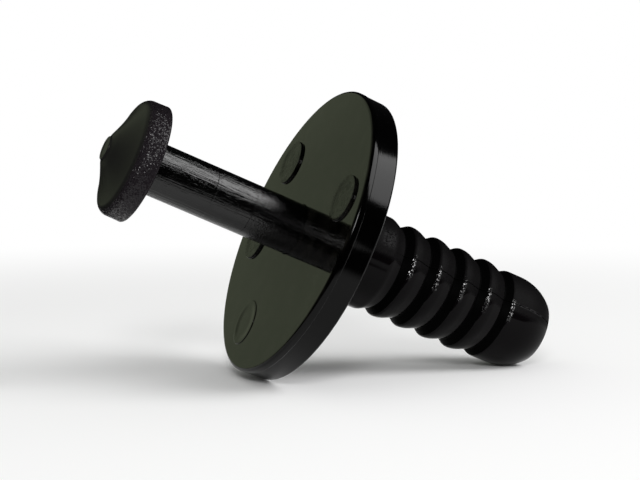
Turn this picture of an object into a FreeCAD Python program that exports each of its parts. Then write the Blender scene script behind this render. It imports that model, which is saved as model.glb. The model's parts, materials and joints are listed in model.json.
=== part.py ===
# Plastic push rivet: a flanged, barbed plug moulded in one piece, and the push pin that slides in its bore.
# It lies at rest on the flange's rim and the plug's nose, with the pin drawn out ready to be pushed home.
import FreeCAD, Part
import math
import os
import Sketcher

os.makedirs("parts", exist_ok=True)
doc = FreeCAD.newDocument("push_rivet")

# Driving dimensions, in millimetres and degrees.
DIMENSIONS = {
    "flange_diameter": 25.0,
    "flange_back_diameter": 24.86,
    "flange_thickness": 2.47,
    "flange_edge_chamfer": 0.2,
    "collar_diameter": 8.25,
    "collar_length": 5.15,
    "collar_flank_length": 1.0,
    "root_diameter": 7.36,
    "barb_diameter": 8.25,
    "barb_count": 4,
    "barb_ramp_length": 0.7,
    "barb_crest_width": 0.54,
    "barb_flank_length": 1.15,
    "barb_root_width": 0.1,
    "nose_diameter": 7.95,
    "nose_land": 1.44,
    "nose_length": 4.49,
    "nose_round": 4.4,
    "nose_edge_round": 0.3,
    "leg_slit_width": 0.15,
    "slit_turn": 69.0,
    "pad_diameter": 3.9,
    "pad_height": 0.2,
    "pad_circle_radius": 9.0,
    "pad_spacing": 120.0,
    "low_pad_turn": 232.5,
    "inner_pad_turn": 170.0,
    "inner_pad_radius": 7.9,
    "bore_clearance": 0.05,
    "bore_mouth_chamfer": 0.3,
    "bore_exit_diameter": 1.6,
    "stem_diameter": 4.4,
    "stem_tip_recess": 2.35,
    "stem_tip_gap": 0.3,
    "stem_tip_length": 1.2,
    "stem_tip_diameter": 2.6,
    "head_diameter": 10.0,
    "head_front_diameter": 9.96,
    "head_wall_height": 1.92,
    "head_cone_height": 1.48,
    "head_cone_top_diameter": 2.2,
    "head_cone_hollow_radius": 17.5,
    "head_front_round": 0.8,
    "head_back_chamfer": 0.2,
    "nub_diameter": 2.0,
    "nub_height": 0.16,
    "nub_chamfer": 0.08,
    "pin_standoff": 13.75,
}


def dimension_sheet():
    """Writes each driving dimension into a cell of its own, under its name."""
    cells = doc.addObject("Spreadsheet::Sheet", "Sizes")
    for row, (name, value) in enumerate(DIMENSIONS.items(), start=1):
        cells.set(f"A{row}", name)
        cells.set(f"B{row}", str(value))
        cells.setAlias(f"B{row}", name)
    doc.recompute()
    return cells


sheet = dimension_sheet()


def half(name):
    """The expression for the radius that goes with a diameter on the sheet."""
    return f"Sizes.{name} / 2"


# Places along the plug's axis from the flange's front face, each worked out from the one before it.
RIM_BACK = "(Sizes.flange_thickness - Sizes.flange_edge_chamfer)"
COLLAR_END = "(Sizes.flange_thickness + Sizes.collar_length)"
SHANK_START = f"({COLLAR_END} + Sizes.collar_flank_length)"
FIRST_BARB = f"({SHANK_START} + Sizes.barb_root_width)"
BARB_CREST_END = "(Sizes.barb_ramp_length + Sizes.barb_crest_width)"
BARB_LENGTH = f"({BARB_CREST_END} + Sizes.barb_flank_length)"
BARB_PITCH = f"({BARB_LENGTH} + Sizes.barb_root_width)"
NOSE_START = f"({FIRST_BARB} + Sizes.barb_count * {BARB_PITCH})"
NOSE_CREST = f"({NOSE_START} + Sizes.barb_ramp_length)"
NOSE_BEND = f"({NOSE_CREST} + Sizes.nose_land)"
PLUG_LENGTH = f"({NOSE_CREST} + Sizes.nose_length)"
NOSE_BEND_LENGTH = "(Sizes.nose_length - Sizes.nose_land)"
NOSE_END_RADIUS = (
    f"({half('nose_diameter')} - Sizes.nose_round"
    f" + sqrt(pow(Sizes.nose_round; 2) - pow({NOSE_BEND_LENGTH}; 2)))"
)
BORE_RADIUS = f"({half('stem_diameter')} + Sizes.bore_clearance)"
STEM_LENGTH = f"({PLUG_LENGTH} - Sizes.stem_tip_recess)"
BORE_NECK_START = f"({STEM_LENGTH} + Sizes.stem_tip_gap)"
BORE_NECK_END = f"({BORE_NECK_START} + {BORE_RADIUS} - {half('bore_exit_diameter')})"

# Places along the pin's axis from the top of its nub.
CONE_TOP = "Sizes.nub_height"
HEAD_FRONT = f"({CONE_TOP} + Sizes.head_cone_height)"
HEAD_BACK = f"({HEAD_FRONT} + Sizes.head_wall_height)"
STEM_END = f"({HEAD_BACK} + {STEM_LENGTH})"


# How near an edge has to lie to the place where it is looked for.
SAME_PLACE = 0.0001


def value(expression):
    """What an expression on the sheet comes to."""
    return float(sheet.evalExpression(expression))


def origin_feature(body, role):
    return next(item for item in body.Origin.OriginFeatures if item.Role == role)


def new_body(name):
    body = doc.addObject("PartDesign::Body", name)
    body.Label = name
    return body


def new_sketch(body, name, plane):
    sketch = body.newObject("Sketcher::SketchObject", name)
    sketch.AttachmentSupport = [(origin_feature(body, plane), "")]
    sketch.MapMode = "FlatFace"
    return sketch


def bind(sketch, kind, geometry, expression):
    """Adds a dimension to the sketch and binds it to an expression on the sheet."""
    at = sketch.addConstraint(Sketcher.Constraint(kind, *geometry, value(expression)))
    sketch.setExpression(f"Constraints[{at}]", expression)


def place_vertex(sketch, edge, radius, height):
    """Holds the start of an outline's edge at a radius from the axis and a height along it."""
    if radius == "0":
        sketch.addConstraint(Sketcher.Constraint("PointOnObject", edge, 1, -2))
    else:
        bind(sketch, "DistanceX", (-1, 1, edge, 1), radius)
    if height == "0":
        sketch.addConstraint(Sketcher.Constraint("PointOnObject", edge, 1, -1))
    else:
        bind(sketch, "DistanceY", (-1, 1, edge, 1), height)


def arc_between(start, end, radius):
    """The shorter arc of a given radius that turns to the left from start to end."""
    chord = end.sub(start)
    middle = start.add(chord.multiply(0.5))
    run = end.sub(start)
    rise = math.sqrt(radius**2 - (run.Length / 2) ** 2)
    centre = middle.add(FreeCAD.Vector(-run.y, run.x, 0).normalize().multiply(rise))
    circle = Part.Circle(centre, FreeCAD.Vector(0, 0, 1), radius)
    angles = [math.atan2(p.y - centre.y, p.x - centre.x) for p in (start, end)]
    return Part.ArcOfCircle(circle, *angles)


def draw_outline(sketch, vertices, arcs):
    """Draws a closed outline through (radius, height) vertices; arcs gives the radius of each bent edge."""
    points = [FreeCAD.Vector(value(radius), value(height), 0) for radius, height in vertices]
    count = len(points)
    for edge, start in enumerate(points):
        end = points[(edge + 1) % count]
        if edge in arcs:
            sketch.addGeometry(arc_between(start, end, value(arcs[edge])), False)
        else:
            sketch.addGeometry(Part.LineSegment(start, end), False)
    for edge in range(count):
        sketch.addConstraint(Sketcher.Constraint("Coincident", edge, 2, (edge + 1) % count, 1))
    for edge, (radius, height) in enumerate(vertices):
        place_vertex(sketch, edge, radius, height)
    for edge, radius in arcs.items():
        bind(sketch, "Radius", (edge,), radius)


def turned(body, name, kind, vertices, arcs=None):
    """Turns an outline about the body's axis: Revolution adds material and Groove takes it away."""
    sketch = new_sketch(body, f"{name}_outline", "XZ_Plane")
    draw_outline(sketch, vertices, arcs or {})
    feature = body.newObject(f"PartDesign::{kind}", name)
    feature.Profile = sketch
    feature.ReferenceAxis = (origin_feature(body, "Z_Axis"), [""])
    feature.Angle = 360.0
    body.Tip = feature
    doc.recompute()
    return feature


def round_edges(body, name, radius, rims):
    """Rounds the circular edges of the body's last feature at the given (radius, height) places."""
    base = body.Tip
    places = [(value(rim_radius), value(height)) for rim_radius, height in rims]
    picked = []
    for number, edge in enumerate(base.Shape.Edges, start=1):
        if not isinstance(edge.Curve, Part.Circle):
            continue
        found = (edge.Curve.Radius, edge.Curve.Center.z)
        if any(math.dist(found, place) < SAME_PLACE for place in places):
            picked.append(f"Edge{number}")
    if len(picked) != len(places):
        raise RuntimeError(f"{name} found {len(picked)} edges of {len(places)}")
    fillet = body.newObject("PartDesign::Fillet", name)
    fillet.Base = (base, picked)
    fillet.setExpression("Radius", radius)
    body.Tip = fillet
    doc.recompute()


def plug_blank(body):
    """The flange, the collar, the bare shank and the bullet nose, turned as one."""
    vertices = [
        ("0", "0"),
        (f"{half('flange_diameter')} - Sizes.flange_edge_chamfer", "0"),
        (half("flange_diameter"), "Sizes.flange_edge_chamfer"),
        (half("flange_back_diameter"), RIM_BACK),
        (f"{half('flange_back_diameter')} - Sizes.flange_edge_chamfer", "Sizes.flange_thickness"),
        (half("collar_diameter"), "Sizes.flange_thickness"),
        (half("collar_diameter"), COLLAR_END),
        (half("root_diameter"), SHANK_START),
        (half("root_diameter"), NOSE_START),
        (half("nose_diameter"), NOSE_CREST),
        (half("nose_diameter"), NOSE_BEND),
        (NOSE_END_RADIUS, PLUG_LENGTH),
        ("0", PLUG_LENGTH),
    ]
    bend = vertices.index((half("nose_diameter"), NOSE_BEND))
    turned(body, "plug_blank", "Revolution", vertices, {bend: "Sizes.nose_round"})


def barbs(body):
    """Ring barbs, each with a steep ramp towards the flange and an easier flank towards the nose."""
    vertices = [
        ("0", FIRST_BARB),
        (half("root_diameter"), FIRST_BARB),
        (half("barb_diameter"), f"{FIRST_BARB} + Sizes.barb_ramp_length"),
        (half("barb_diameter"), f"{FIRST_BARB} + {BARB_CREST_END}"),
        (half("root_diameter"), f"{FIRST_BARB} + {BARB_LENGTH}"),
        ("0", f"{FIRST_BARB} + {BARB_LENGTH}"),
    ]
    ring = turned(body, "barb", "Revolution", vertices)
    row = body.newObject("PartDesign::LinearPattern", "barb_row")
    row.Originals = [ring]
    row.Direction = (origin_feature(body, "Z_Axis"), [""])
    row.setExpression("Length", f"(Sizes.barb_count - 1) * {BARB_PITCH}")
    row.setExpression("Occurrences", "Sizes.barb_count")
    body.Tip = row
    doc.recompute()


def plug_bore(body):
    """The pin's bore, with a chamfered mouth and a neck that opens through the nose."""
    mouth = f"({BORE_RADIUS} + Sizes.bore_mouth_chamfer)"
    vertices = [
        ("0", "0"),
        (mouth, "0"),
        (BORE_RADIUS, "Sizes.bore_mouth_chamfer"),
        (BORE_RADIUS, BORE_NECK_START),
        (half("bore_exit_diameter"), BORE_NECK_END),
        (half("bore_exit_diameter"), PLUG_LENGTH),
        ("0", PLUG_LENGTH),
    ]
    turned(body, "bore", "Groove", vertices)


def leg_slit(body):
    """The slit that parts the shank into two legs, from the collar's flank through the nose."""
    sketch = new_sketch(body, "leg_slit_outline", "XZ_Plane")
    reach = value(half("flange_diameter"))
    low, high = value(SHANK_START), value(PLUG_LENGTH)
    corners = [(-reach, low), (reach, low), (reach, high), (-reach, high)]
    for edge, start in enumerate(corners):
        end = corners[(edge + 1) % len(corners)]
        side = Part.LineSegment(FreeCAD.Vector(*start, 0), FreeCAD.Vector(*end, 0))
        sketch.addGeometry(side, False)
    for edge in range(len(corners)):
        sketch.addConstraint(Sketcher.Constraint("Coincident", edge, 2, (edge + 1) % len(corners), 1))
    sketch.addConstraint(Sketcher.Constraint("Horizontal", 2))
    for edge in (1, 3):
        sketch.addConstraint(Sketcher.Constraint("Vertical", edge))
    sketch.addConstraint(Sketcher.Constraint("Symmetric", 0, 1, 0, 2, -2))
    bind(sketch, "DistanceX", (0, 1, 0, 2), "Sizes.flange_diameter")
    bind(sketch, "DistanceY", (-1, 1, 0, 1), SHANK_START)
    bind(sketch, "DistanceY", (-1, 1, 2, 1), PLUG_LENGTH)
    slit = body.newObject("PartDesign::Pocket", "leg_slit")
    slit.Profile = sketch
    slit.SideType = "Symmetric"
    slit.setExpression("Length", "Sizes.leg_slit_width")
    body.Tip = slit
    doc.recompute()


def ejector_pad(body, name, turn, radius):
    """One raised round pad on the flange's face, at a turn from the slit's plane and out from the axis."""
    sketch = new_sketch(body, f"{name}_outline", "XY_Plane")
    sketch.AttachmentOffset = FreeCAD.Placement(
        FreeCAD.Vector(), FreeCAD.Rotation(FreeCAD.Vector(0, 0, 1), 0)
    )
    sketch.setExpression("AttachmentOffset.Rotation.Angle", turn)
    centre = FreeCAD.Vector(value(radius), 0, 0)
    circle = Part.Circle(centre, FreeCAD.Vector(0, 0, 1), value(half("pad_diameter")))
    sketch.addGeometry(circle, False)
    sketch.addConstraint(Sketcher.Constraint("PointOnObject", 0, 3, -1))
    bind(sketch, "DistanceX", (-1, 1, 0, 3), radius)
    bind(sketch, "Radius", (0,), half("pad_diameter"))
    pad = body.newObject("PartDesign::Pad", name)
    pad.Profile = sketch
    pad.Reversed = True
    pad.setExpression("Length", "Sizes.pad_height")
    body.Tip = pad
    doc.recompute()


def barbed_plug():
    body = new_body("barbed_plug")
    plug_blank(body)
    barbs(body)
    round_edges(body, "nose_edge_round", "Sizes.nose_edge_round", [(NOSE_END_RADIUS, PLUG_LENGTH)])
    plug_bore(body)
    leg_slit(body)
    ejector_pad(body, "slit_pad", "0", "Sizes.pad_circle_radius")
    ejector_pad(body, "upper_pad", "Sizes.pad_spacing", "Sizes.pad_circle_radius")
    ejector_pad(body, "low_pad", "Sizes.low_pad_turn", "Sizes.pad_circle_radius")
    ejector_pad(body, "inner_pad", "Sizes.inner_pad_turn", "Sizes.inner_pad_radius")
    return body


def push_pin():
    """The pin: a low hollow-coned head with a nub, a drafted wall, and a plain stem with a tapered tip."""
    body = new_body("push_pin")
    tip_start = f"({STEM_END} - Sizes.stem_tip_length)"
    vertices = [
        ("0", "0"),
        (f"{half('nub_diameter')} - Sizes.nub_chamfer", "0"),
        (half("nub_diameter"), "Sizes.nub_chamfer"),
        (half("nub_diameter"), CONE_TOP),
        (half("head_cone_top_diameter"), CONE_TOP),
        (half("head_front_diameter"), HEAD_FRONT),
        (half("head_diameter"), f"{HEAD_BACK} - Sizes.head_back_chamfer"),
        (f"{half('head_diameter')} - Sizes.head_back_chamfer", HEAD_BACK),
        (half("stem_diameter"), HEAD_BACK),
        (half("stem_diameter"), tip_start),
        (half("stem_tip_diameter"), STEM_END),
        ("0", STEM_END),
    ]
    turned(body, "pin_blank", "Revolution", vertices)
    hollow = [
        (half("head_cone_top_diameter"), CONE_TOP),
        (half("head_front_diameter"), CONE_TOP),
        (half("head_front_diameter"), HEAD_FRONT),
    ]
    turned(body, "cone_hollow", "Groove", hollow, {2: "Sizes.head_cone_hollow_radius"})
    front_edge = (half("head_front_diameter"), HEAD_FRONT)
    round_edges(body, "head_front_round", "Sizes.head_front_round", [front_edge])
    return body


def resting_tilt():
    """How far the axis dips when the plug lies on the back corner of its rim and the bend of its nose.

    In the plane of the axis the floor is the line from that corner that touches the nose's arc.
    """
    nose_round = value("Sizes.nose_round")
    run = value(f"{NOSE_BEND} - {RIM_BACK}")
    drop = value(f"{half('flange_back_diameter')} - {half('nose_diameter')}") + nose_round
    lean = math.acos(nose_round / math.hypot(run, drop))
    return math.degrees(lean - math.atan2(run, drop))


def lay_down(plug, pin):
    """Lays both pieces down with the nose towards +X, and the origin at the middle of their footprint."""
    tilt = resting_tilt()
    dip = FreeCAD.Rotation(FreeCAD.Vector(0, 1, 0), 90 + tilt)
    roll = FreeCAD.Rotation(FreeCAD.Vector(0, 0, 1), 180 + value("Sizes.slit_turn"))
    turn = dip.multiply(roll)
    axis = turn.multVec(FreeCAD.Vector(0, 0, 1))
    draw = value(f"Sizes.pin_standoff + {HEAD_BACK}")
    plug.Placement = FreeCAD.Placement(FreeCAD.Vector(), turn)
    pin.Placement = FreeCAD.Placement(axis * -draw, turn)
    doc.recompute()
    box = Part.makeCompound([plug.Shape, pin.Shape]).optimalBoundingBox(False, False)
    shift = FreeCAD.Vector(-box.Center.x, -box.Center.y, -box.ZMin)
    for body in (plug, pin):
        body.Placement = FreeCAD.Placement(body.Placement.Base + shift, turn)
    doc.recompute()
    print(f"tilt {tilt:.3f} degrees, axis {axis}, face centre {plug.Placement.Base}")
    print(f"box {box.XLength:.3f} x {box.YLength:.3f} x {box.ZLength:.3f}")


def check_and_write(bodies):
    """Stops on any failed object, then writes each sub-part under its label."""
    for item in doc.Objects:
        if "Invalid" in item.State or "Error" in item.State:
            raise RuntimeError(f"{item.Name} is {item.State}")
    for body in bodies:
        if body.Shape.isNull() or not body.Shape.isValid():
            raise RuntimeError(f"{body.Label} has no valid shape")
        solids = len(body.Shape.Solids)
        print(f"{body.Label}: {solids} solid, {body.Shape.Volume:.2f} mm3")
        body.Shape.exportStep(f"parts/{body.Label}.step")


plug_body = barbed_plug()
pin_body = push_pin()
lay_down(plug_body, pin_body)
check_and_write([plug_body, pin_body])
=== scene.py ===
import json
import math

import bmesh
import bpy
from mathutils import Matrix, Vector


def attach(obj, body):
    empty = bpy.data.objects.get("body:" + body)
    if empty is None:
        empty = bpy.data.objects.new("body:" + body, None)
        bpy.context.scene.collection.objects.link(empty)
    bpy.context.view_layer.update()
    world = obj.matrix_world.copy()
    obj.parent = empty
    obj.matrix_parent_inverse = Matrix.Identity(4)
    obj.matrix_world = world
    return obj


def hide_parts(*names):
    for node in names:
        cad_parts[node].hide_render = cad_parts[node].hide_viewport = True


# A black plastic push rivet: a barbed plug with a wide round flange, and the pin that drives its legs apart.
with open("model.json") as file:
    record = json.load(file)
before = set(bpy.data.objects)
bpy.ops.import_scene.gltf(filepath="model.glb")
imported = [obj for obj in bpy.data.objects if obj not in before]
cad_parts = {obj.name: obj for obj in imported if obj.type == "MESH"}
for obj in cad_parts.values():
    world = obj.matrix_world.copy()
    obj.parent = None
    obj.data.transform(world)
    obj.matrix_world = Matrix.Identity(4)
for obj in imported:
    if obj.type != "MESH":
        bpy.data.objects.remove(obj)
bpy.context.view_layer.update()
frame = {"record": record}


# The plug is one black moulding: a wide polished flange on a split shank with four barbs.
# It lies on the flange's rim and the nose, so its own axis dips towards the nose.
# All its sizes are millimetres from the flange's face, along that axis and out from it.
millimetre = 0.001
flange_radius = 12.475
flange_back_radius = 12.405
flange_thickness = 2.47
rim_round = 0.27
witness_line = 0.6
witness_width = 0.04
witness_step = 0.035
collar_radius = 4.125
collar_length = 5.15
collar_end = flange_thickness + collar_length
collar_flank = 1.0
slit_start = collar_end + collar_flank
root_radius = 3.62
root_width = 0.1
barb_radius = 4.12
barb_count = 4
barb_pitch = 2.49
barb_ramp = 0.7
barb_crest_end = 1.24
barb_crest_drop = 0.02
barb_flank_end = 2.39
first_barb = slit_start + root_width
groove_ends = 0.56
groove_starts = 2.3
nose_radius = 3.975
nose_start = first_barb + barb_count * barb_pitch
nose_crest = nose_start + barb_ramp
nose_bend = 20.82
nose_arc_radius = 4.4
nose_steps = 14
plug_length = 23.87
bore_radius = 2.225
bore_mouth_chamfer = 0.03
bore_neck = 21.82
bore_exit_radius = 0.8
face_edge = 12.1
mouth_edge = 2.5
lathe_steps = 256
sharpest_smooth_edge = math.radians(36)

collar_mount = next(mount for mount in frame["record"]["mounts"] if mount["name"] == "panel_collar")
rivet_axis = Vector(collar_mount["axis"])
to_collar = (flange_thickness + collar_length / 2) * millimetre
face_centre = Vector(collar_mount["pos_m"]) - rivet_axis * to_collar
dip = math.atan2(-rivet_axis.z, rivet_axis.x)
slit_turn = math.radians(69.0)
as_it_lies = Matrix.Rotation(math.radians(90) + dip, 4, "Y") @ Matrix.Rotation(math.pi + slit_turn, 4, "Z")
plug_place = Matrix.Translation(face_centre) @ as_it_lies @ Matrix.Scale(millimetre, 4)


def outline(bm, corners):
    """A wire through (radius, height, rounding) corners, each rounded from that far back along its sides."""
    points = [bm.verts.new((radius, 0, height)) for radius, height, _ in corners]
    for start, end in zip(points, points[1:]):
        bm.edges.new((start, end))
    for point, (_, _, rounding) in zip(points, corners):
        if rounding:
            bmesh.ops.bevel(bm, geom=[point], offset=rounding, offset_type="OFFSET", segments=5,
                            profile=0.5, affect="VERTICES", material=-1)


def turn(bm, steps):
    """Turns the wire about the axis into a round skin."""
    bmesh.ops.spin(bm, geom=bm.verts[:] + bm.edges[:], cent=(0, 0, 0), axis=(0, 0, 1),
                   angle=2 * math.pi, steps=steps, use_merge=True)
    bmesh.ops.remove_doubles(bm, verts=bm.verts, dist=0.0001)


def moulded(bm, name, place, finishes):
    """Lays a finished skin in its place as an object with clean normals and even shading."""
    bmesh.ops.recalc_face_normals(bm, faces=bm.faces)
    for edge in bm.edges:
        edge.smooth = edge.calc_face_angle(0) < sharpest_smooth_edge
    bm.transform(place)
    mesh = bpy.data.meshes.new(name)
    bm.to_mesh(mesh)
    bm.free()
    mesh.shade_smooth()
    piece = bpy.data.objects.new(name, mesh)
    bpy.context.scene.collection.objects.link(piece)
    for finish in finishes:
        piece.data.materials.append(finish)
    piece.modifiers.new("even_shading", "WEIGHTED_NORMAL").keep_sharp = True
    return piece


def barb_corners():
    """Each barb climbs a steep ramp to its ridge, runs flat, and eases down a long flank."""
    rise = (barb_radius - root_radius) / barb_ramp
    corners = []
    for barb in range(barb_count):
        front = first_barb + barb * barb_pitch
        corners += [
            (root_radius, front, 0.05),
            (root_radius + rise * groove_ends, front + groove_ends, 0),
            (barb_radius, front + barb_ramp, 0.1),
            (barb_radius - barb_crest_drop, front + barb_crest_end, 0.3),
            (root_radius, front + barb_flank_end, 0.05),
        ]
    return corners


def nose_corners():
    """The bullet nose, an arc from its straight land to its flat end, whose edge is eased."""
    full_turn = math.asin((plug_length - nose_bend) / nose_arc_radius)
    arc_centre = nose_radius - nose_arc_radius
    corners = []
    for step in range(nose_steps + 1):
        angle = full_turn * step / nose_steps
        corners.append((arc_centre + nose_arc_radius * math.cos(angle),
                        nose_bend + nose_arc_radius * math.sin(angle), 0))
    corners[-1] = (arc_centre + nose_arc_radius * math.cos(full_turn), plug_length, 0.2)
    return corners


def plug_skin():
    """The whole plug, turned, from the edge of its face round the outside and back up the bore."""
    skin = bmesh.new()
    outline(skin, [
        (face_edge, 0, 0),
        (flange_radius, 0, rim_round),
        (flange_radius, witness_line, 0.02),
        (flange_radius - witness_step, witness_line + witness_width, 0.015),
        (flange_back_radius, flange_thickness, 0.2),
        (collar_radius, flange_thickness, 0.12),
        (collar_radius, collar_end, 0.2),
        (root_radius, slit_start, 0),
        *barb_corners(),
        (root_radius, nose_start, 0.04),
        (nose_radius, nose_crest, 0.1),
        *nose_corners(),
        (bore_exit_radius, plug_length, 0.08),
        (bore_exit_radius, bore_neck + bore_radius - bore_exit_radius, 0.1),
        (bore_radius, bore_neck, 0.1),
        (bore_radius, slit_start, 0),
        (bore_radius, bore_mouth_chamfer, 0),
        (bore_radius + bore_mouth_chamfer, 0, 0),
        (mouth_edge, 0, 0),
    ])
    turn(skin, lathe_steps)
    return skin


# Four ejector pins pushed the flange out of its mould, and each left a low round pad on the face.
# One stands on the slit's plane, another a third of a turn from it, and the last two less evenly.
# Each is given by its turn about the axis in degrees, its distance from the axis and its height.
pads = [(0, 9.0, 0.2), (240, 9.0, 0.2), (191, 8.1, 0.2), (127.5, 9.0, 0.06)]
pad_radius = 1.95
pad_foot = 0.2
pad_border = 0.25
pad_dish_start = 0.8
pad_dish = 0.05
pad_steps = 72


def ejector_pad(turned_by, from_axis, height):
    """One pad, with a rounded edge and a slightly dished top, open underneath where it meets the face."""
    pad = bmesh.new()
    outline(pad, [
        (pad_radius + pad_foot, 0, 0),
        (pad_radius, 0, 0.03),
        (pad_radius, -height, 0.04),
        (pad_radius - pad_border, -height, 0.1),
        (pad_radius - pad_dish_start, -height + pad_dish, 0.3),
        (0, -height + pad_dish * 0.6, 0),
    ])
    turn(pad, pad_steps)
    pad.transform(Matrix.Rotation(math.radians(turned_by), 4, "Z") @ Matrix.Translation((from_axis, 0, 0)))
    return pad


def gather(bm, other):
    """Adds another skin to this one."""
    carrier = bpy.data.meshes.new("carrier")
    other.to_mesh(carrier)
    other.free()
    bm.from_mesh(carrier)
    bpy.data.meshes.remove(carrier)


def close_face(skin):
    """Closes the flange's flat face round its rim, the bore's mouth and the pads."""
    rims = [edge for edge in skin.edges if edge.is_boundary]
    bmesh.ops.triangle_fill(skin, use_beauty=True, use_dissolve=False, edges=rims, normal=(0, 0, -1))


# A slit from the collar through the nose parts the shank into two legs, which the pin drives apart.
# It is pinched almost shut, its edges are a little worn round, and the barbs lean a hair out of square.
slit_half_width = 0.02
slit_edge_round = 0.04
slit_edge_cuts = [0, 0.15, 0.4, 0.7, 1]
outside_bore = bore_radius + 0.3
barb_lean = 0.024
lean_starts_over = 0.6
lean_ends_over = 1.2
near = 0.0005


def cut_slit(skin):
    """Cuts both sides of the slit with a few planes beside each, and takes out what lies between."""
    for side in (-1, 1):
        for share in slit_edge_cuts:
            shank = [face for face in skin.faces if min(v.co.z for v in face.verts) > slit_start - near]
            parts = {part for face in shank for part in [*face.verts, *face.edges, face]}
            plane = side * (slit_half_width + share * slit_edge_round)
            bmesh.ops.bisect_plane(skin, geom=list(parts), dist=near / 10, plane_co=(0, plane, 0),
                                   plane_no=(0, 1, 0))
    inside = [
        face for face in skin.faces
        if abs(face.calc_center_median().y) < slit_half_width
        and face.calc_center_median().z > slit_start + near
    ]
    bmesh.ops.delete(skin, geom=inside, context="FACES")


def on_wall(edge, across, side):
    """Whether an open edge lies in the slit's wall on this side of the slit and of the bore."""
    return edge.is_boundary and all(
        abs(v.co.y - side * slit_half_width) < near and v.co.x * across > 0 for v in edge.verts
    )


def on_end(edge, across):
    """Whether an open edge lies at the slit's end by the collar, on this side of the bore."""
    return edge.is_boundary and all(
        abs(v.co.z - slit_start) < near and v.co.x * across > 0 and abs(v.co.y) < slit_half_width + near
        for v in edge.verts
    )


def close_slit(skin):
    """Gives the slit its four flat walls, and its end at the collar."""
    for across in (-1, 1):
        end_edges = [edge for edge in skin.edges if on_end(edge, across)]
        for side in (-1, 1):
            wall = [edge for edge in skin.edges if on_wall(edge, across, side)]
            ends = {v for edge in wall for v in edge.verts if abs(v.co.z - slit_start) < near}
            sill = skin.edges.new(sorted(ends, key=lambda v: abs(v.co.x)))
            end_edges.append(sill)
            bmesh.ops.contextual_create(skin, geom=wall + [sill])
        bmesh.ops.contextual_create(skin, geom=end_edges)


def share_of(distance, length):
    """How much of a length is covered, from 0 to 1."""
    return min(1, max(0, distance / length))


def ease_slit(skin):
    """Rounds the slit's outer edges."""
    for v in skin.verts:
        out = abs(v.co.y) - slit_half_width
        if v.co.z > slit_start - near and v.co.xy.length > outside_bore and -near < out < slit_edge_round:
            rise = 1 - share_of(out, slit_edge_round)
            v.co.x -= math.copysign(slit_edge_round * (1 - math.sqrt(1 - rise * rise)), v.co.x)


def lean_barbs(skin):
    """Tips the barbs' rings: their tops lie nearer the nose than their undersides."""
    top = Vector((math.cos(slit_turn), -math.sin(slit_turn), 0))
    for v in skin.verts:
        share = share_of(v.co.z - slit_start, lean_starts_over) * share_of(nose_bend - v.co.z, lean_ends_over)
        if v.co.xy.length > outside_bore:
            v.co.z += barb_lean * share * v.co.dot(top)


def part_finishes(skin):
    """Numbers each face's finish: 0 for the flange and the bore, 1 for the shank, 2 for the painted shade in
    its grooves.
    """
    for face in skin.faces:
        middle = face.calc_center_median()
        in_barb = (middle.z - first_barb) % barb_pitch
        in_groove = slit_start < middle.z < nose_crest and not groove_ends < in_barb < groove_starts
        on_shank = middle.z > flange_thickness + 0.1 and middle.xy.length > bore_radius + 0.1
        face.material_index = on_shank * (1 + in_groove)


plug = plug_skin()
for pad in pads:
    gather(plug, ejector_pad(*pad))
close_face(plug)
cut_slit(plug)
close_slit(plug)
ease_slit(plug)
part_finishes(plug)
lean_barbs(plug)


# The plug's plastic is polypropylene, dyed black right through. A polished mould left the flange's face
# a faintly mottled mirror, its rim shows fine turning lines, and the shank is glossy on its lower leg
# and dull on the upper one. Its grooves are given painted shade: a copy of the plastic that mirrors next to
# nothing.
class Wire:
    """One output of a finish's nodes. Arithmetic on it adds Math nodes."""

    def __init__(self, tree, socket=None):
        self.tree = tree
        self.socket = socket

    def node(self, kind, settings=None, inputs=None, output=0):
        """Adds a node: its settings first, then the values or links of its sockets."""
        node = self.tree.nodes.new(kind)
        for name, setting in (settings or {}).items():
            setattr(node, name, setting)
        for name, given in (inputs or {}).items():
            if isinstance(given, Wire):
                self.tree.links.new(given.socket, node.inputs[name])
            else:
                node.inputs[name].default_value = given
        return Wire(self.tree, node.outputs[output]) if node.outputs else node

    def math(self, operation, first, second=0.0):
        return self.node("ShaderNodeMath", {"operation": operation}, {0: first, 1: second})

    def __add__(self, other):
        return self.math("ADD", self, other)

    def __radd__(self, other):
        return self.math("ADD", other, self)

    def __sub__(self, other):
        return self.math("SUBTRACT", self, other)

    def __rsub__(self, other):
        return self.math("SUBTRACT", other, self)

    def __mul__(self, other):
        return self.math("MULTIPLY", self, other)

    def __rmul__(self, other):
        return self.math("MULTIPLY", other, self)

    def __mod__(self, length):
        return self.math("FLOORED_MODULO", self, length)

    def rise(self, start, full):
        """Climbs smoothly from 0 at start to 1 at full."""
        limits = {"Value": self, "From Min": start, "From Max": full}
        return self.node("ShaderNodeMapRange", {"interpolation_type": "SMOOTHSTEP"}, limits)

    def between(self, low, high):
        """Climbs from 0 to 1 over the low limit and falls back to 0 over the high one, each (start, end)."""
        return self.rise(*low) * (1 - self.rise(*high))

    def tint(self, low, high):
        """A colour from low to high as this goes from 0 to 1."""
        return self.node("ShaderNodeMix", {"data_type": "RGBA"}, {0: self, 6: low, 7: high}, 2)

    def vector(self, operation, first, second):
        return self.node("ShaderNodeVectorMath", {"operation": operation}, {0: first, 1: second})

    def noise(self, scale, detail=2.0, roughness=0.5):
        """Soft grey noise in this vector's space."""
        values = {"Vector": self, "Scale": scale, "Detail": detail, "Roughness": roughness}
        return self.node("ShaderNodeTexNoise", {}, values)

    def parts(self):
        """The three numbers of this vector."""
        return [self.node("ShaderNodeSeparateXYZ", {}, {0: self}, axis) for axis in range(3)]


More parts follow.
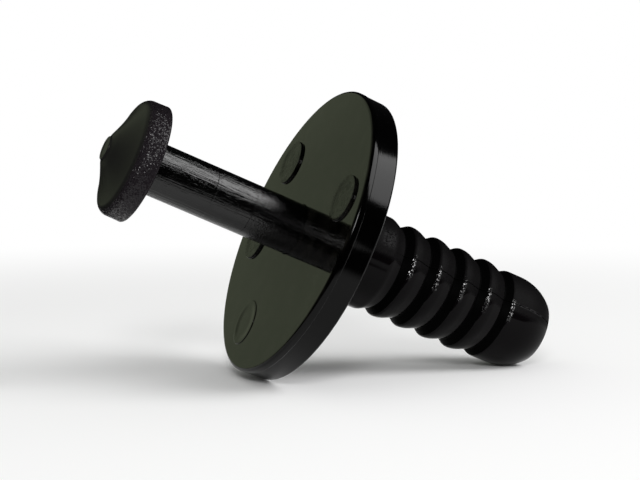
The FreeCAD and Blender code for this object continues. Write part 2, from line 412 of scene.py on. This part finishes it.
def begin_finish(name, origin):
    """An empty finish, a wire to add nodes from, and the rivet's own millimetres from a point on its axis."""
    finish = bpy.data.materials.new(name)
    finish.use_nodes = True
    finish.node_tree.nodes.clear()
    blank = Wire(finish.node_tree)
    here = blank.node("ShaderNodeTexCoord", {}, {}, "Object")
    spot = blank.node("ShaderNodeMapping", {"vector_type": "TEXTURE"}, {
        "Vector": here,
        "Location": origin,
        "Rotation": as_it_lies.to_euler(),
        "Scale": (millimetre, millimetre, millimetre),
    })
    return finish, blank, spot


def end_finish(finish, surface):
    """Gives the finish its surface."""
    surface.node("ShaderNodeOutputMaterial", {}, {"Surface": surface})
    return finish


def sparkle(spot, grain, tilt):
    """The surface's normal, tipped a random way in each grain of a spark-eroded skin."""
    grains = spot.node("ShaderNodeTexVoronoi", {}, {"Vector": spot, "Scale": 1 / grain}, "Color")
    centred = spot.vector("SUBTRACT", grains, (0.5, 0.5, 0.5))
    push = spot.node("ShaderNodeVectorMath", {"operation": "SCALE"}, {0: centred, "Scale": tilt})
    flat = spot.node("ShaderNodeNewGeometry", {}, {}, "Normal")
    tipped = spot.vector("ADD", flat, push)
    return spot.node("ShaderNodeVectorMath", {"operation": "NORMALIZE"}, {0: tipped})


polished_ior = 1.245
shank_ior = 1.17
ridge_glint_ior = 1.75
# The grooves' index near 1 makes them mirror next to nothing: painted shade.
groove_shade_ior = 1.05
deep_black = (0.0003, 0.0003, 0.0003, 1)
worn_black = (0.0012, 0.0012, 0.0012, 1)
warm_black = (0.001, 0.0008, 0.00095, 1)
pale_black = (0.0022, 0.0017, 0.002, 1)
hazed = (0.0055, 0.0052, 0.0042, 1)
scuff_and_glint_grey = (0.03, 0.03, 0.03, 1)

# Where each mark begins and ends: along the axis in millimetres, or about it in radians from the slit,
# positive towards the lower leg. The limit of the scuff and painted highlight beside the slit is that turn
# squared.
rim_from = (0.03, 0.15)
pad_tops_to = (-0.14, -0.1)
lower_leg = ((0.05, 0.3), (2.6, 3.0))
dull_patch_about = ((-0.5, -0.3), (-0.1, 0.05))
dull_patch_along = ((6.0, 6.5), (7.3, 7.6))
scuff_and_glint_squared = (0.0001, 0.0009)
scuff_and_glint_along = ((19.3, 19.8), (22.2, 22.8))
ridge_up_barb = ((0.5, 0.64), (0.8, 1.0))
ridges_along = ((first_barb, first_barb + 0.2), (nose_crest + 0.2, nose_crest + 0.4))
ridge_glint_about = ((-0.12, 0.06), (0.28, 0.5))


def polished_finish():
    """The flange's mirror face with its faint haze, its duller pads, and its rim with turning lines."""
    finish, blank, spot = begin_finish("plug_polished_black", face_centre)
    along = spot.parts()[2]
    on_rim = along.rise(*rim_from)
    on_pads = 1 - along.rise(*pad_tops_to)
    smears = spot.vector("MULTIPLY", spot, (1, 1, 0.3)).noise(0.35, 4.0, 0.6).rise(0.5, 0.8)
    haze = spot.noise(3.0, 3.0)
    mottle = spot.noise(0.5, 5.0, 0.7).rise(0.38, 0.68)
    turning = blank.node("ShaderNodeCombineXYZ", {}, {2: along * 9})
    lines = turning.noise(1.0, 3.0) * on_rim
    bump = blank.node("ShaderNodeBump", {}, {
        "Strength": 0.25,
        "Distance": 0.00004,
        "Height": spot.noise(0.8, 2.0) * 0.4 + haze * (0.05 + on_pads * 1.2) + lines * 0.5,
    })
    surface = blank.node("ShaderNodeBsdfPrincipled", {}, {
        "Base Color": (mottle * (1 - on_rim)).tint(deep_black, hazed),
        "Roughness": 0.05 + smears * 0.05 + on_rim * 0.05 + on_pads * haze * 0.4,
        "IOR": polished_ior,
        "Normal": bump,
    })
    return end_finish(finish, surface)


def shank_finish():
    """Polished on the lower leg, dull on the upper one, and on the ridges beside the slit a coarse eroded
    skin in a far more mirroring copy of the plastic: a painted glint.
    """
    finish, blank, spot = begin_finish("plug_shank_black", face_centre)
    across, down, along = spot.parts()
    around = spot.math("ARCTAN2", down, across)
    dull = 1 - around.between(*lower_leg)
    patch = around.between(*dull_patch_about) * along.between(*dull_patch_along)
    # A light grey streak along the slit on the nose: partly a scuff, partly a painted highlight for the glint
    # of the seam's edge.
    beside_slit = 1 - (around * around).rise(*scuff_and_glint_squared)
    scuff_and_glint = beside_slit * along.between(*scuff_and_glint_along) * spot.noise(4.0, 3.0).rise(0.4, 0.6)
    black = spot.noise(7.0, 3.0).tint(warm_black, pale_black)
    smooth = blank.node("ShaderNodeBsdfPrincipled", {}, {
        "Base Color": scuff_and_glint.tint(black, scuff_and_glint_grey),
        "Roughness": 0.1 + dull * 0.5 - patch * 0.2,
        "IOR": shank_ior,
        "Normal": sparkle(spot, 0.13, (dull * 0.3 + patch) * 0.35),
    })
    # The ridges' copy mirrors far more strongly than the rest of the shank, and only where the small lamp's
    # glints fall: real eroded grain with a painted glint.
    coarse = blank.node("ShaderNodeBsdfPrincipled", {}, {
        "Base Color": black,
        "Roughness": 0.12,
        "IOR": ridge_glint_ior,
        "Normal": sparkle(spot, 0.085, 0.8),
    })
    up_barb = (along - first_barb) % barb_pitch
    glint_ridge = up_barb.between(*ridge_up_barb) * along.between(*ridges_along) * around.between(*ridge_glint_about)
    surface = blank.node("ShaderNodeMixShader", {}, {0: glint_ridge, 1: smooth, 2: coarse})
    return end_finish(finish, surface)


def groove_shade_finish():
    """Painted shade for the grooves between the barbs: a copy of the plastic that mirrors next to nothing."""
    finish, blank, spot = begin_finish("plug_groove_painted_shade", face_centre)
    surface = blank.node("ShaderNodeBsdfPrincipled", {}, {
        "Base Color": spot.noise(7.0, 3.0).tint(deep_black, worn_black),
        "Roughness": 0.4,
        "IOR": groove_shade_ior,
    })
    return end_finish(finish, surface)


barbed_plug = moulded(plug, "plug_with_flange_and_barbs", plug_place,
                      [polished_finish(), shank_finish(), groove_shade_finish()])
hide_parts("barbed_plug")
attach(barbed_plug, "plug")


# The pin is the other moulding: a low hollow-coned head with a nub at its middle, on a plain round stem.
# It stands drawn out of the plug's bore, and pushing its head home drives the tapered tip between the legs.
# Its sizes are millimetres from the nub's top.
pin_standoff = 13.75
nub_radius = 1.0
nub_height = 0.16
cone_height = 1.48
cone_foot_radius = 1.15
cone_edge_radius = 4.94
cone_edge_round = 0.55
cone_hollow = 0.124
cone_steps = 12
wall_height = 1.92
head_radius = 5.0
head_front = nub_height + cone_height
head_back = head_front + wall_height
stem_radius = 2.2
stem_fillet = 0.15
stem_end = head_back + 21.52
stem_taper = 1.2
tip_radius = 1.3
pin_origin = face_centre - rivet_axis * (pin_standoff + head_back) * millimetre
pin_place = Matrix.Translation(pin_origin) @ as_it_lies @ Matrix.Scale(millimetre, 4)


def cone_corners():
    """The cone from the nub's foot to where its edge begins to round, hollow by a shallow arc."""
    corners = []
    for step in range(1, cone_steps - 1):
        share = step / cone_steps
        sag = cone_hollow * 4 * share * (1 - share)
        radius = cone_foot_radius + (cone_edge_radius - cone_foot_radius) * share
        corners.append((radius, nub_height + cone_height * share + sag, 0))
    return corners


pin = bmesh.new()
outline(pin, [
    (0, 0.12, 0),
    (nub_radius - 0.4, 0.1, 0.1),
    (nub_radius - 0.1, 0.01, 0.06),
    (nub_radius, 0.04, 0.04),
    (nub_radius + 0.03, nub_height, 0.08),
    *cone_corners(),
    (cone_edge_radius, head_front, cone_edge_round),
    (head_radius - 0.02, head_back - 0.3, 0.05),
    (head_radius - 0.005, head_back - 0.24, 0.02),
    (head_radius - 0.005, head_back, 0.17),
    (stem_radius, head_back, stem_fillet),
    (stem_radius, stem_end - stem_taper, 0.1),
    (tip_radius, stem_end, 0.12),
    (0, stem_end, 0),
])
turn(pin, lathe_steps)
for face in pin.faces:
    middle = face.calc_center_median()
    behind_cone = middle.z > head_front + 0.02
    on_stem = middle.z > head_back and middle.xy.length < stem_radius + 0.1
    face.material_index = behind_cone + on_stem


# The pin's plastic is the same black, out of a rougher mould. Its cone is satin and its head's wall
# is eroded to a glitter, and drag marks from the draw of the mould run along the stem.
cone_ior = 1.2
wall_ior = 1.27
stem_ior = 1.48
grey_black = (0.007, 0.0072, 0.0066, 1)
dusty_black = (0.013, 0.0128, 0.0118, 1)
mauve_black = (0.006, 0.0045, 0.006, 1)
frosted_black = (0.015, 0.0125, 0.0145, 1)
coarse_wall_to = (head_front + 0.9, head_front + 1.6)
first_ring_mark = ((9.16, 9.24), (9.3, 9.4))
second_ring_mark = ((12.6, 12.7), (12.74, 12.84))


def cone_finish():
    """The satin nub and cone."""
    finish, blank, spot = begin_finish("pin_satin_black", pin_origin)
    grit = spot.noise(6.0, 3.0)
    bump = blank.node("ShaderNodeBump", {}, {"Strength": 0.5, "Distance": 0.000004, "Height": grit})
    surface = blank.node("ShaderNodeBsdfPrincipled", {}, {
        "Base Color": grit.tint(grey_black, dusty_black),
        "Roughness": 0.3 + grit * 0.06,
        "IOR": cone_ior,
        "Normal": bump,
    })
    return end_finish(finish, surface)


def wall_finish():
    """The glittering wall and back of the head."""
    finish, blank, spot = begin_finish("pin_eroded_black", pin_origin)
    coarse = 1 - spot.parts()[2].rise(*coarse_wall_to)
    surface = blank.node("ShaderNodeBsdfPrincipled", {}, {
        "Base Color": spot.noise(5.0, 3.0).tint(mauve_black, frosted_black),
        "Roughness": 0.2,
        "IOR": wall_ior,
        "Normal": sparkle(spot, 0.09, (0.55 + coarse * 0.45) * 0.85),
    })
    return end_finish(finish, surface)


def drawn_finish():
    """The glossy stem with its drag streaks and two faint ring marks."""
    finish, blank, spot = begin_finish("pin_glossy_black", pin_origin)
    along = spot.parts()[2]
    drag = spot.vector("MULTIPLY", spot, (6, 6, 0.35)).noise(1.0, 3.0, 0.6)
    grain = spot.noise(7.0, 2.0)
    ring_marks = along.between(*first_ring_mark) + along.between(*second_ring_mark) * 0.5
    bump = blank.node("ShaderNodeBump", {}, {
        "Strength": 0.55,
        "Distance": 0.00009,
        "Height": drag + grain * 0.25 + ring_marks * 0.22,
    })
    surface = blank.node("ShaderNodeBsdfPrincipled", {}, {
        "Base Color": drag.tint(deep_black, worn_black),
        "Roughness": 0.11,
        "IOR": stem_ior,
        "Normal": bump,
    })
    return end_finish(finish, surface)


push_pin = moulded(pin, "push_pin_with_coned_head", pin_place, [cone_finish(), wall_finish(), drawn_finish()])
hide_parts("push_pin")
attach(push_pin, "pin")


# The rivet lies on a plain pale floor that runs into a pale room. The floor keeps the rivet's shadow, and
# far off it takes the room's colour to the eye. The plastic mirrors the sheet that the rivet lies on, which
# reaches out further on the nose's side, and dimness past its edge. Its distances are metres.
pale = (1.0, 1.0, 1.0, 1)
dim = (0.01, 0.01, 0.0105, 1)
floor_colour = (0.93, 0.93, 0.93, 1)
floor_size = 3.0
fades_to_room = (0.05, 0.14)
sheet_edge = (0.028, 0.036)
long_side_from = (0.002, 0.005)
long_side_slant = 0.35
long_side_edge = (0.1, 0.14)

ground = bmesh.new()
bmesh.ops.create_grid(ground, x_segments=1, y_segments=1, size=floor_size)
floor_mesh = bpy.data.meshes.new("floor")
ground.to_mesh(floor_mesh)
ground.free()
floor = bpy.data.objects.new("floor", floor_mesh)
bpy.context.scene.collection.objects.link(floor)

floor_finish = bpy.data.materials.new("pale_floor")
floor_finish.use_nodes = True
floor_finish.node_tree.nodes.clear()
floor_blank = Wire(floor_finish.node_tree)
floor_spot = floor_blank.node("ShaderNodeTexCoord", {}, {}, "Object")
away = floor_blank.node("ShaderNodeVectorMath", {"operation": "LENGTH"}, {0: floor_spot}, "Value")
along_floor, over_floor, _ = floor_spot.parts()
towards_nose = (along_floor + over_floor * long_side_slant).rise(*long_side_from)
long_side = towards_nose * (1 - away.rise(*long_side_edge))
eye_ray = floor_blank.node("ShaderNodeLightPath", {}, {}, "Is Camera Ray")
mirror_ray = floor_blank.node("ShaderNodeLightPath", {}, {}, "Is Glossy Ray")
past_sheet = away.rise(*sheet_edge) * (1 - long_side)
far_off = eye_ray * away.rise(*fades_to_room) + mirror_ray * past_sheet
lit = floor_blank.node("ShaderNodeBsdfDiffuse", {}, {"Color": floor_colour})
glow = floor_blank.node("ShaderNodeEmission", {}, {"Color": eye_ray.tint(dim, pale), "Strength": 1.0})
floor_mix = floor_blank.node("ShaderNodeMixShader", {}, {0: far_off, 1: lit, 2: glow})
end_finish(floor_finish, floor_mix)
floor.data.materials.append(floor_finish)


# The room is white to the eye. What the plastic mirrors is a dark studio with one soft olive-grey
# backdrop panel, which stands behind the rivet on its head's side. Its edges are parts of a unit direction.
backdrop_colour = (0.338, 0.383, 0.26, 1)
room_light = (0.49, 0.49, 0.49, 1)
panel_aside = ((-0.8, -0.6), (-0.2, -0.04))
panel_above = ((-0.3, -0.15), (0.7, 0.9))
panel_ahead = (0, 0.3)

room = bpy.data.worlds.new("studio")
room.use_nodes = True
room.node_tree.nodes.clear()
bpy.context.scene.world = room
room_blank = Wire(room.node_tree)
way = room_blank.node("ShaderNodeTexCoord", {}, {}, "Generated")
aside, ahead, above = way.parts()
clouds = way.vector("MULTIPLY", way, (9, 9, 4)).noise(1.0, 2.0) * 1.2 + 0.4
panel = aside.between(*panel_aside) * above.between(*panel_above) * ahead.rise(*panel_ahead)
eye = room_blank.node("ShaderNodeLightPath", {}, {}, "Is Camera Ray")
soft = room_blank.node("ShaderNodeLightPath", {}, {}, "Is Diffuse Ray")
room_colour = eye.tint(soft.tint((panel * clouds).tint(dim, backdrop_colour), room_light), pale)
room_glow = room_blank.node("ShaderNodeBackground", {}, {"Color": room_colour, "Strength": 1.0})
room_blank.node("ShaderNodeOutputWorld", {}, {"Surface": room_glow})


def softbox(name, way_to_it, distance, size, watts):
    """A square lamp that faces the rivet from a given side."""
    lamp = bpy.data.lights.new(name, "AREA")
    lamp.shape = "SQUARE"
    lamp.size = size
    lamp.energy = watts
    holder = bpy.data.objects.new(name, lamp)
    bpy.context.scene.collection.objects.link(holder)
    towards = Vector(way_to_it).normalized()
    holder.location = face_centre + towards * distance
    holder.rotation_euler = towards.to_track_quat("Z", "Y").to_euler()


softbox("key_softbox", way_to_it=(0.669, -0.416, 0.617), distance=0.5, size=0.3, watts=1.6)
softbox("small_lamp_by_the_lens", way_to_it=(-0.319, -0.818, 0.466), distance=0.5, size=0.12, watts=0.85)


# The camera stands low beside the rivet's head, close enough for the flange's circle to look deep.
# It is set so that the middle of the flange's face lands on its place in the picture.
camera_azimuth = math.radians(-19.8)
camera_elevation = math.radians(4.6)
lens_length = 98.5
sensor_width = 36.0
nearest_seen = 0.01
picture_size = (640, 480)
face_centre_pixel = (293.85, 229.14)
pixels_per_millimetre = 12.09

right = Vector((math.cos(camera_azimuth), math.sin(camera_azimuth), 0))
forward = Vector((
    -math.sin(camera_azimuth) * math.cos(camera_elevation),
    math.cos(camera_azimuth) * math.cos(camera_elevation),
    -math.sin(camera_elevation),
))
up = right.cross(forward)
focal_pixels = lens_length / sensor_width * picture_size[0]
to_face = (
    right * (face_centre_pixel[0] - picture_size[0] / 2)
    + up * (picture_size[1] / 2 - face_centre_pixel[1])
    + forward * focal_pixels
)
lens = bpy.data.cameras.new("camera")
lens.lens = lens_length
lens.sensor_width = sensor_width
lens.clip_start = nearest_seen
camera = bpy.data.objects.new("camera", lens)
bpy.context.scene.collection.objects.link(camera)
camera.location = face_centre - to_face / pixels_per_millimetre * millimetre
camera.rotation_euler = (-forward).to_track_quat("Z", "Y").to_euler()
bpy.context.scene.camera = camera
bpy.context.scene.view_settings.view_transform = "Standard"
